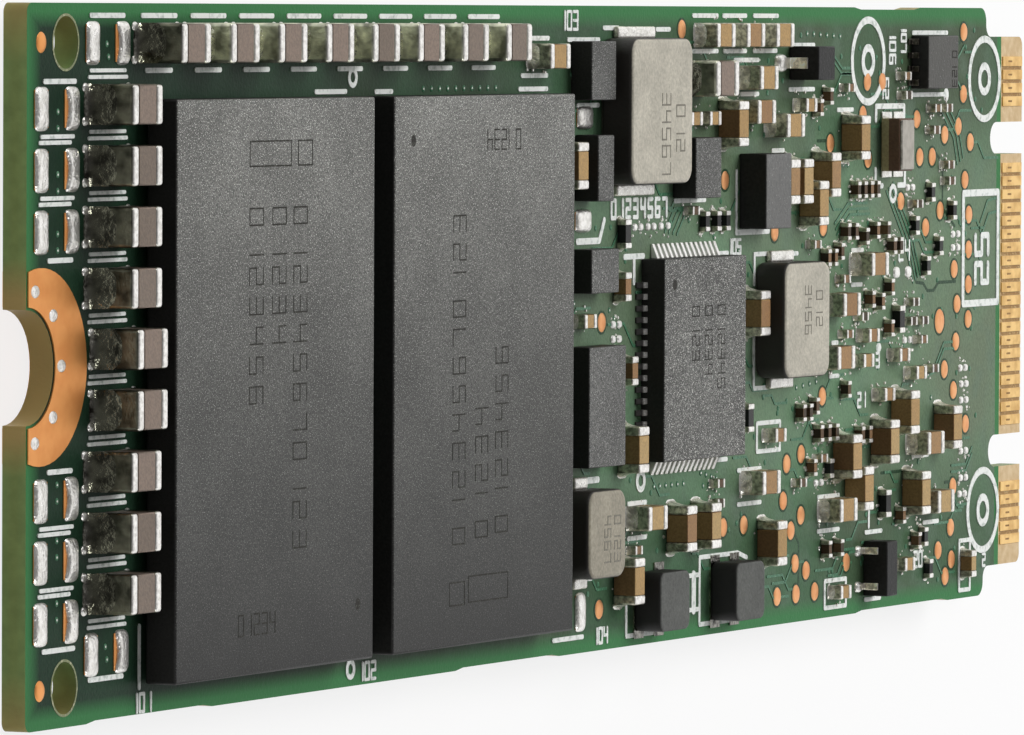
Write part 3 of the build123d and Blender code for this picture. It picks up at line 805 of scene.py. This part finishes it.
# The large capacitors' ends and solder carry painted shade
chip_parts("bulk_capacitor", bulk_ceramic, 0.11, 0.6, 0.5, bulk_tin, shaded_bulk_solder, 0.18)
chip_parts("ceramic_capacitor", tan_ceramic, 0.07, 0.5, 0.2)
chip_parts("small_capacitor", tan_ceramic, 0.05, 0.5, 0.14)
chip_parts("tiny_capacitor", tiny_ceramic, 0.035, 0.5, 0.1)
chip_parts("chip_resistor", resistor_glaze, 0.035, 0.5, 0.12)
rounded("back_capacitor_bodies", tan_ceramic, 0.02)
rounded("back_capacitor_terminals", tin, 0.05, 3)


# Solder without a part, and solder beside leads

def lead_joints():
    """A mound of solder over the foot of each bent lead."""
    mounds = Shapes()
    for node, reach in (("protection_diode_leads", 0.42), ("small_transistor_leads", 0.24)):
        boxes = islands(node)
        middle = sum((low.x + high.x) / 2 for low, high in boxes) / len(boxes)
        for low, high in boxes:
            x = low.x if low.x + high.x < 2 * middle else high.x
            _, y, _, half_y = from_above(low, high)
            mounds.dome(x, y, reach, half_y + 0.3 * reach, front_z, 0.6 * reach, 2.6, 24, 5)
    mounds.piece("lead_solder_mounds", land_solder, "solder")


def empty_lands(pair_near=0.5, pair_far=2.2, inset_x=0.06, inset_y=0.1, plate_height=0.03, lift=0.01):
    """Copper under a cushion of solder that has drawn back on its partner's side."""
    plates, cushions = Shapes(), Shapes()
    pulls = {-1: (0.55, 0.1), 0: (0.1, 0.1), 1: (0.16, 0.3)}
    boxes = islands("bare_solder_lands")
    for low, high in boxes:
        x, y, half_x, half_y = from_above(low, high)
        partners = [
            (a.x + b.x) / 2 - x for a, b in boxes
            if pair_near < abs((a.x + b.x) / 2 - x) < pair_far and abs((a.y + b.y) / 2 - y) < 0.1
        ]
        inward = int(math.copysign(1, partners[0])) if partners else 0
        px, py = half_x - inset_x, half_y - inset_y
        plates.plate(x - px, y - py, x + px, y + py, low.z, low.z + plate_height)
        height = high.z - low.z - lift
        cushions.dome(x, y, half_x, half_y, low.z + lift, height, 4.0, 40, 6, pulls[inward])
    plates.piece("bare_land_copper", copper, "copper")
    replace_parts(cushions.piece("bare_land_solder", land_solder, "solder"), "bare_solder_lands")


def spare_cushions():
    """Round cushions of solder on the small spare lands."""
    cushions = Shapes()
    for low, high in islands("spare_solder_lands"):
        cushions.dome(*from_above(low, high), low.z, high.z - low.z, 3.0, 16, 4)
    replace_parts(cushions.piece("spare_land_cushions", bead_solder, "solder"), "spare_solder_lands")


def solder_specks():
    """Small beads of solder beside the terminals of small parts."""
    specks = Shapes()
    chance = random.Random(23)
    for node in ("ceramic_capacitor_terminals", "small_capacitor_terminals", "tiny_capacitor_terminals",
                 "chip_resistor_terminals", "spare_solder_lands"):
        for low, high in islands(node):
            for _ in range(3):
                x = chance.uniform(low.x - 0.2, high.x + 0.2)
                below = low.y - chance.uniform(0.03, 0.25)
                above = high.y + chance.uniform(0.03, 0.25)
                y = chance.choice((below, above))
                size = chance.uniform(0.025, 0.07)
                specks.dome(x, y, size, size, front_z, size, 2.0, 8, 2)
    specks.piece("solder_specks", land_solder, "solder")


def land_holes(way_x=2.2, way_y=2.35, lift=0.045, height=0.03):
    """Plated holes of the mounting land, filled with solder."""
    holes = Shapes()
    for degrees in (-77, -41, 0, 41, 77):
        a = math.radians(degrees)
        hole = card(way_x * math.cos(a), way_y * math.sin(a))
        holes.dome(*hole, 0.28, 0.2, front_z + lift, height, levels=4)
    holes.piece("mounting_land_solder_holes", land_solder, "solder")


def tooling_rims(x=2.5, y=9.8, outer=0.88, inner=0.8, height=0.01):
    """Bare rims of the two tooling holes."""
    rims = Shapes()
    for side in (-1, 1):
        rims.ring(*card(x, side * y), outer, inner, front_z, front_z + height, 48)
    rims.piece("tooling_hole_rims", rim_laminate, "solder_mask")


lead_joints()
empty_lands()
spare_cushions()
solder_specks()
land_holes()
tooling_rims()


# White print: bars, frames, rings and plain digits

print_low, print_high = front_z, front_z + ink_height
inked = Shapes()


def bar(x0, y0, x1, y1, width=stroke):
    """A printed bar."""
    inked.stroke(card(x0, y0), card(x1, y1), width, print_low, print_high)


def print_beside_capacitors():
    """Bars at the notched end and along the row of large capacitors."""
    column_middle, column_pitch = 0.44, 1.867
    land_middle = 4.06
    row_start, row_pitch = 7.5, 3.363
    row_y, under_row_y = 10.62, 8.93
    for i in range(-5, 5):
        y = column_middle + (i + 0.5) * column_pitch
        bar(4.1, y + 0.1, 6.4, y + 0.1, 0.12)
        bar(4.0, y - 0.1, 6.5, y - 0.1, 0.12)
    bar(4.1, row_y, 6.3, row_y)
    bar(4.1, -9.66, 6.3, -9.66)
    for side in (-1, 1):
        for i in range(2):
            y = side * (land_middle + (i + 0.5) * column_pitch)
            bar(0.9, y + 0.09, 3.0, y + 0.09, 0.13)
            bar(0.8, y - 0.09, 2.8, y - 0.09, 0.13)
        bar(1.4, side * 3.2, 2.9, side * 3.2)
        bar(1.1, side * 8.62, 3.1, side * 8.62)
    for i in range(8):
        start = row_start + i * row_pitch
        bar(start, row_y, start + 2.3, row_y)
        bar(start + 0.3, under_row_y, start + 2.0, under_row_y)


def print_level_bars():
    """Bars along the card beside single parts, as start, end and place across."""
    for x0, x1, y in [
        (19.6, 21.8, 8.2), (24, 25.2, 8.18), (35, 37.2, 8.2), (35.2, 37.2, 8.65), (38.9, 41.4, 9.85),
        (41.8, 43, 10.25), (46.2, 47.3, 10.2), (36, 37.3, 9.9), (49.3, 51.4, 10.68), (51.9, 53.9, 10.68),
        (54.6, 56.7, 10.68), (49.3, 51.4, 9.44), (52, 53.9, 9.44), (54.6, 56.6, 9.44), (52.9, 55, 9.12),
        (53.5, 55, 7.92), (51.6, 52.4, 2.35), (51.6, 52.4, -4.9), (47.8, 50.4, 4.25), (39.6, 41, -8.5),
        (44, 45.5, -6.1), (44, 45.5, -7.3), (53.4, 55.4, -5.35), (53.4, 55.4, -6.55), (57.9, 60, 9.64),
        (57.8, 60, 8.06), (69.2, 72.5, 10.08), (69, 72.4, 7.8), (60.6, 62.5, -6.62), (60.6, 62.5, -7.85),
        (69.4, 70.9, -5.5), (70.5, 71.9, -8), (65, 66.5, -8.1), (61.6, 62.4, -2.3), (63.6, 64.5, 0.95),
        (63.6, 64.6, 2.2), (61.8, 62.3, -1.1), (39.7, 41.4, 7.62), (37.9, 40.3, -10.45), (65, 66.4, -10.55),
        (57.6, 58.6, 2.2), (62.2, 63.6, 7.3), (56, 57.2, 7), (56.3, 57.3, 5.9),
    ]:
        bar(x0, y, x1, y)


def print_corners():
    """Bars that meet at the corners of parts, as both ends and, for some, a width."""
    for ends in [
        (39.7, 3, 41.5, 3, 0.22), (41.5, 3, 41.9, 3.7, 0.22), (39.7, -5.15, 41.5, -5.15, 0.22),
        (53.15, 3.05, 56, 3.05, 0.2), (53.15, 3.05, 53.15, 5.2), (43.6, 2.4, 45.2, 2.4, 0.2),
        (44.4, 2.4, 44.4, 1.5, 0.2), (54.75, -0.6, 54.75, -2.5), (54.75, -2.5, 56, -2.5),
        (54.75, 1.2, 54.75, 2.25), (54.75, 2.25, 56.2, 2.25), (43.9, -9.6, 43.9, -10.65),
        (43.9, -10.65, 46.8, -10.65), (50.1, -8.25, 50.1, -10.6), (50.1, -10.6, 53, -10.6),
        (50.1, -8.25, 53.4, -8.25), (53.4, -8.25, 54.2, -8.45), (49.6, -8.85, 49.6, -10.05, 0.36),
        (49.2, -8.85, 50, -8.85), (49.2, -10.05, 50, -10.05), (7.45, -8.2, 7.45, -10.1),
        (65.3, -6.2, 65.3, -7.9), (65.75, 7.4, 68.4, 7.4, 0.2), (65.75, 7.4, 65.75, 6.9, 0.2),
        (65.75, 4.5, 66.4, 4.5, 0.2), (65.75, 4.5, 65.75, 5.1, 0.2), (67.9, 4.5, 68.5, 4.5, 0.2),
        (68.5, 4.5, 68.5, 5.1, 0.2), (68.4, 7.4, 68.4, 7, 0.2),
    ]:
        bar(*ends)


def print_frames():
    """Rectangular frames, small rings and double rings."""
    for x0, y0, x1, y1, width in [
        (74.2, -0.02, 77.62, 4.1, 0.26), (61.25, -10.65, 63.2, -9.68, stroke),
        (55.05, -4.75, 57.1, -3.75, stroke), (74, -10.7, 75.05, -8.85, stroke),
    ]:
        inked.frame(*card(x0, y0), *card(x1, y1), width, print_low, print_high)
    rings = [(22.3, 8.65, 0.34, 0.17), (22.3, -10.45, 0.34, 0.17), (45.05, -5.35, 0.4, 0.2),
             (67.4, 4.2, 0.36, 0.18)]
    for x, y in ((65.0, 9.05), (76.2, 8.35), (76.3, -7.8)):
        rings += [(x, y, 1.62, 1.36), (x, y, 0.62, 0.34)]
    for x, y, outer, inner in rings:
        inked.ring(*card(x, y), outer, inner, print_low, print_high)


def printed(digits, x, y, size, way, width=0.11, step=digit_step):
    """Printed digits, which read in this way."""
    inked.number(digits, *card(x, y), size, way, width, print_low, print_high, step)


def print_digits():
    """Plain digits beside parts, in the tall label and in the large frame."""
    along, up, down = (1, 0), (0, 1), (0, -1)
    for digits, x, y, size, way in [
        ("101", 7, -10.85, 0.55, along), ("102", 22.9, -10.85, 0.55, along),
        ("103", 38.3, 10.2, 0.6, along),
        ("104", 41.2, -10.75, 0.5, along), ("105", 52.4, 2.3, 0.5, along), ("106", 67, 10.2, 0.55, down),
        ("107", 68.1, 10.4, 0.45, down), ("20", 69.6, -9.6, 0.55, along), ("21", 64.2, -3.5, 0.5, along),
        ("22", 70.8, -5.4, 0.55, along), ("23", 66.9, 7.7, 0.5, up), ("24", 68, 1.75, 0.7, along),
        ("2", 76.3, -9.9, 0.45, along),
    ]:
        printed(digits, x, y, size, way)
    printed("01234567", 42.5, 3.75, 0.6, along, 0.15, 1.02)
    printed("25", 76.65, 0.75, 1.25, up, 0.24)
    printed("3", 65.9, -2.1, 0.5, along)


print_beside_capacitors()
print_level_bars()
print_corners()
print_frames()
print_digits()
inked.dome(*card(66.2, -1.4), 0.24, 0.18, print_low, ink_height, levels=2)
inked.dome(*card(72.5, 7.78), 0.25, 0.25, print_low, ink_height, levels=2)
inked.piece("white_print", white_ink, "solder_mask", smooth=False)


# Tracks and small plated holes under the mask

def masked_tracks():
    """Bundles of tracks, each a route, a count and a step, and short single tracks."""
    lines = Shapes()
    low, high = front_z, front_z + track_height
    bundles = [
        ([(66.8, 4.3), (68.6, 2.4), (69.4, 0.9)], 4, (0.22, 0.1)),
        ([(72, 7.2), (73.2, 6.2), (73.6, 5.2)], 3, (0.28, 0.12)),
        ([(74.8, 6), (75.6, 6), (76.2, 5.4), (77.6, 5.4)], 1, (0, 0)),
        ([(75.9, 3), (76.6, 3.8), (77.6, 3.9)], 2, (0.1, -0.5)),
        ([(61.6, 9.4), (62.6, 8.8), (63.4, 8.8)], 2, (0, -0.22)),
        ([(47, 3.2), (47.8, 4), (48.8, 4)], 4, (0.34, -0.04)),
        ([(70.6, -2.4), (71.6, -2.2), (72.4, -1.4), (73.4, -1.4)], 2, (0, -0.24)),
        ([(62, 3.2), (63.2, 3.9), (65, 3.9)], 3, (0.1, -0.2)),
        ([(71, 9), (73.4, 9), (74.2, 9.6)], 1, (0, 0)),
        ([(73.2, -6), (74.6, -6), (75.2, -5.4)], 2, (0, -0.24)),
    ]
    for route, count, step in bundles:
        for i in range(count):
            lines.path([card(x + i * step[0], y + i * step[1]) for x, y in route], track_width, low, high)
    chance = random.Random(11)
    for _ in range(90):
        x, y = chance.uniform(38, 75), chance.uniform(-9.8, 9.8)
        run = chance.uniform(0.4, 1.6)
        slope = chance.choice((-1, 1)) * chance.uniform(0.3, 0.9)
        tail = chance.uniform(0.3, 1.4)
        bend_x = x + run + abs(slope)
        route = [(x, y), (x + run, y), (bend_x, y + slope), (bend_x + tail, y + slope)]
        inside = [card(*spot) for spot in route if spot[0] < 76.5 and abs(spot[1]) < 10.4]
        lines.path(inside, track_width, low, high)
    lines.piece("masked_tracks", track_mask, "solder_mask")


def masked_gaps():
    """Dark lines where the copper under the mask has gaps."""
    gaps = Shapes()
    for route in [
        [(69.5, 2.2), (69.7, 0.9), (70.4, 0.84), (70.8, 0.56), (71.4, 0.56), (71.85, 0.84), (73.5, 0.84)],
        [(71.6, 5.6), (72.2, 5.2), (72.2, 3.6), (73.4, 2.9)], [(66.5, -6), (68.9, -6), (69.4, -6.5)],
        [(72.6, -6.6), (74.9, -6.6)], [(56.4, -7.7), (58.4, -7.7), (58.9, -8.2), (58.9, -9.9)],
        [(60.4, 6.2), (61.4, 6.2), (61.9, 5.7)], [(70, 9.7), (73.8, 9.7), (74.4, 10.2)],
    ]:
        gaps.path([card(*spot) for spot in route], gap_width, front_z, front_z + gap_height)
    gaps.piece("masked_gaps", rim_mask, "solder_mask")


def small_holes():
    """Rows of holes with a glint, as start, step and count, and holes strewn over the far half."""
    holes, glints = Shapes(), Shapes()
    rows = [
        (27.6, 8.25, 0.62, 0, 10), (59.4, 10.05, 0.6, -0.02, 6), (50.2, -5.3, 0.45, -0.08, 4),
        (50.4, -5.75, 0.5, 0.02, 3), (2, 7.2, 0, 0.5, 2), (2, 5.3, 0, 0.5, 2),
        (2, 3.5, 0, 0.5, 2), (2, -7.2, 0, -0.5, 2), (2, -5.3, 0, -0.5, 2),
        (2, -3.6, 0, -0.5, 2), (5.2, 9.75, 0.1, -0.4, 2), (5.2, -8.7, 0.1, -0.4, 2),
        (70.4, 8.9, 0.3, 0, 3), (72.3, 4.5, 0.4, 0.1, 3), (64.2, 0.4, 0.5, 0, 4),
        (67, -1.9, 0.4, 0.1, 4), (71.2, -3.4, 0.3, -0.3, 3), (58.6, -2.6, 0.6, 0.05, 4),
        (46.2, -5.6, 0.5, 0, 6), (53.4, 2.4, 0, -0.5, 3), (38, 0.9, 0.5, 0, 4),
        (42.4, 0.6, 0.4, -0.3, 3),
    ]
    for x, y, step_x, step_y, count in rows:
        for i in range(count):
            spot = card(x + i * step_x, y + i * step_y)
            holes.dome(*spot, via_radius, via_radius, front_z, via_height, 2.0, 12, 3)
            glints.dome(*spot, 0.05, 0.045, front_z + via_height - 0.004, 0.008, 2.0, 8, 2)
    glints.piece("hole_glints", land_solder, "solder")
    chance = random.Random(5)
    for _ in range(260):
        x, y = chance.uniform(38, 76), chance.uniform(-10.2, 10.2)
        holes.dome(*card(x, y), via_radius, via_radius, front_z, via_height, 2.0, 12, 3)
    holes.piece("masked_holes", track_mask, "solder_mask")


masked_tracks()
masked_gaps()
small_holes()


# Plain etched marks on the packages: digits, frames and dots

def top_of(node):
    """Height of a node's top."""
    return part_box(node)[1].z / MM


def etch(marks, node, digits, x, y, size, along, width=0.055, step=digit_step):
    """Digits etched into a package's top."""
    top = top_of(node)
    marks.number(digits, *card(x, y), size, along, width, top - etch_depth, top + etch_height, step)


def etch_frame(marks, node, x0, y0, x1, y1, width=0.05):
    """A frame etched into a package's top."""
    top = top_of(node)
    marks.frame(*card(x0, y0), *card(x1, y1), width, top - etch_depth, top + etch_height)


def chip_marks():
    """Marks on the flash packages, the power chip and the sensor chip."""
    marks = Shapes()
    first, second = "flash_package_front_1", "flash_package_front_2"
    down, up, along, back = (0, -1), (0, 1), (1, 0), (-1, 0)
    for digits, x, y in (("012345670123", 15.7, 4.6), ("01234", 14.2, 4.6), ("0123456", 12.6, 4.6)):
        etch(marks, first, digits, x, y, 0.95, down, step=0.98)
    etch(marks, first, "01234", 11.9, -8.75, 0.65, along)
    etch_frame(marks, first, 12.6, 5.92, 15.5, 6.7)
    etch_frame(marks, first, 16.0, 5.92, 17.0, 6.7)
    for digits, x, y in (("012345670123", 28.4, -6.65), ("01234", 30.15, -6.5), ("0123456", 31.7, -6.4)):
        etch(marks, second, digits, x, y, 0.95, up, step=0.98)
    etch(marks, second, "01234", 32.6, 6.9, 0.65, back)
    etch_frame(marks, second, 27.25, -8.65, 28.4, -7.9)
    etch_frame(marks, second, 28.7, -8.6, 31.75, -7.75)
    for digits, x in (("012345", 49.6), ("01234", 48.5), ("0123", 47.4)):
        etch(marks, "power_chip", digits, x, 0.6, 0.6, down, 0.045)
    etch(marks, "sensor_chip", "0123", 71.4, 9.4, 0.42, down, 0.05)
    for node, x, y in ((first, 20.4, -8.2), (first, 24.4, 6.6), ("power_chip", 45.9, 1.4)):
        marks.dome(*card(x, y), 0.2, 0.22, top_of(node) - etch_depth, etch_depth + etch_height, levels=2)
    marks.piece("etched_marks", etched, "flash_mould", smooth=False)


def inductor_marks():
    """Faint digits on the inductors' tops."""
    marks = Shapes()
    for part, size, width, rows in [
        ("small", 0.5, 0.06, [("0123", 40.3, -6.3), ("4567", 39.5, -6.3)]),
        ("large", 0.7, 0.06, [("012", 45.3, 7.6), ("34567", 44.1, 8.0)]),
        ("medium", 0.55, 0.05, [("012", 57.6, 0.9), ("3456", 56.6, 1.1)]),
    ]:
        for digits, x, y in rows:
            etch(marks, part + "_inductor", digits, x, y, size, (0, -1), width)
    marks.piece("inductor_marks", faint_etch, "inductor_moulding", smooth=False)


chip_marks()
inductor_marks()


# Contacts: faint probe marks, and dark plates between neighbours that paint the shade there

def probe_marks(start=0.55, end=0.85, width=0.07):
    """A short worn line on each front contact."""
    marks = Shapes()
    for low, high in islands("edge_contacts_front"):
        y = (low.y + high.y) / 2
        marks.stroke((low.x + start, y), (low.x + end, y), width, high.z - etch_depth, high.z + etch_depth)
    marks.piece("contact_probe_marks", worn_gold, "gold")


def contact_gap_shades(widest=0.3, edge=0.01):
    """Thin dark plates between neighbouring contacts, as painted shade."""
    gaps = Shapes()
    contacts = sorted(islands("edge_contacts_front"), key=lambda box: box[0].y)
    for (low, high), (next_low, _) in zip(contacts, contacts[1:]):
        if next_low.y - high.y < widest:
            gaps.plate(low.x, high.y + edge, high.x, next_low.y - edge, front_z, front_z + gap_height)
    gaps.piece("contact_gap_shades", painted_gap_shade, "solder_mask", smooth=False)


probe_marks()
contact_gap_shades()


# Floor, light and camera

def floor():
    """Pale floor that keeps shadows and looks white where it is lit."""
    mesh = bpy.data.meshes.new("floor")
    reach = floor_reach * MM
    corners = [(-reach, -reach, 0), (reach, -reach, 0), (reach, reach, 0), (-reach, reach, 0)]
    mesh.from_pydata(corners, [], [(0, 1, 2, 3)])
    material, tree = shader("floor", 1.0)
    tree.nodes.clear()
    paper = ramp(tree, noise(tree, 30.0), [(0.3, 0.89), (0.7, 0.91)])
    diffuse = add(tree, "ShaderNodeBsdfDiffuse", {"Color": paper}).outputs[0]
    glow = add(tree, "ShaderNodeEmission", {}).outputs[0]
    faint = add(tree, "ShaderNodeMixShader", {0: 1 - floor_share, 1: diffuse, 2: glow}).outputs[0]
    path = add(tree, "ShaderNodeLightPath", {}).outputs
    looked_at = maths(tree, "MAXIMUM", path["Is Camera Ray"], path["Is Glossy Ray"])
    looked_at = maths(tree, "MAXIMUM", looked_at, path["Is Transmission Ray"])
    seen = add(tree, "ShaderNodeMixShader", {0: looked_at, 1: diffuse, 2: faint}).outputs[0]
    add(tree, "ShaderNodeOutputMaterial", {"Surface": seen})
    mesh.materials.append(material)
    placed("floor", mesh)


def world():
    """White to the camera; reflections and soft light come from past the connector."""
    made = bpy.data.worlds.new("studio")
    made.use_nodes = True
    tree = made.node_tree
    way = add(tree, "ShaderNodeTexCoord", {}).outputs["Generated"]
    far = add(tree, "ShaderNodeSeparateXYZ", {"Vector": way}).outputs["X"]
    inputs = {"Value": far, "From Min": dark_until, "From Max": white_from, "To Min": near_side}
    backdrop = add(tree, "ShaderNodeMapRange", inputs).outputs[0]
    path = add(tree, "ShaderNodeLightPath", {}).outputs
    inputs = {"Value": path["Is Glossy Ray"], "To Min": ambient}
    lit = maths(tree, "MULTIPLY", backdrop, add(tree, "ShaderNodeMapRange", inputs).outputs[0])
    plain = maths(tree, "MAXIMUM", path["Is Camera Ray"], path["Is Transmission Ray"])
    background = tree.nodes["Background"]
    background.inputs["Color"].default_value = (1, 1, 1, 1)
    tree.links.new(maths(tree, "MAXIMUM", lit, plain), background.inputs["Strength"])
    bpy.context.scene.world = made


def aimed(place_mm, aim_mm):
    """Matrix of a thing at a place that looks at another."""
    start, end = Vector(place_mm) * MM, Vector(aim_mm) * MM
    turn = (end - start).to_track_quat("-Z", "Y").to_matrix().to_4x4()
    return Matrix.Translation(start) @ turn


def soft_light(name, place_mm, size, power, in_reflections, on_matt):
    """A round lamp that looks at the card's middle."""
    lamp = bpy.data.lights.new(name, "AREA")
    lamp.shape = "DISK"
    lamp.size = size * MM
    lamp.energy = power
    made = placed(name, lamp)
    made.matrix_world = aimed(place_mm, (0, 0, 0))
    made.visible_glossy = in_reflections
    made.visible_diffuse = on_matt


def camera():
    """The camera, rolled so that the card's length runs across the picture."""
    lens = bpy.data.cameras.new("camera")
    lens.lens = camera_lens
    lens.sensor_width = camera_sensor
    lens.sensor_fit = "HORIZONTAL"
    lens.clip_start = camera_near * MM
    made = placed("camera", lens)
    made.matrix_world = aimed(camera_place, camera_aim) @ Matrix.Rotation(math.radians(camera_roll), 4, "Z")
    bpy.context.scene.camera = made


floor()
world()
for lamp in lamps:
    soft_light(*lamp)
camera()
bpy.context.scene.view_settings.view_transform = "Standard"
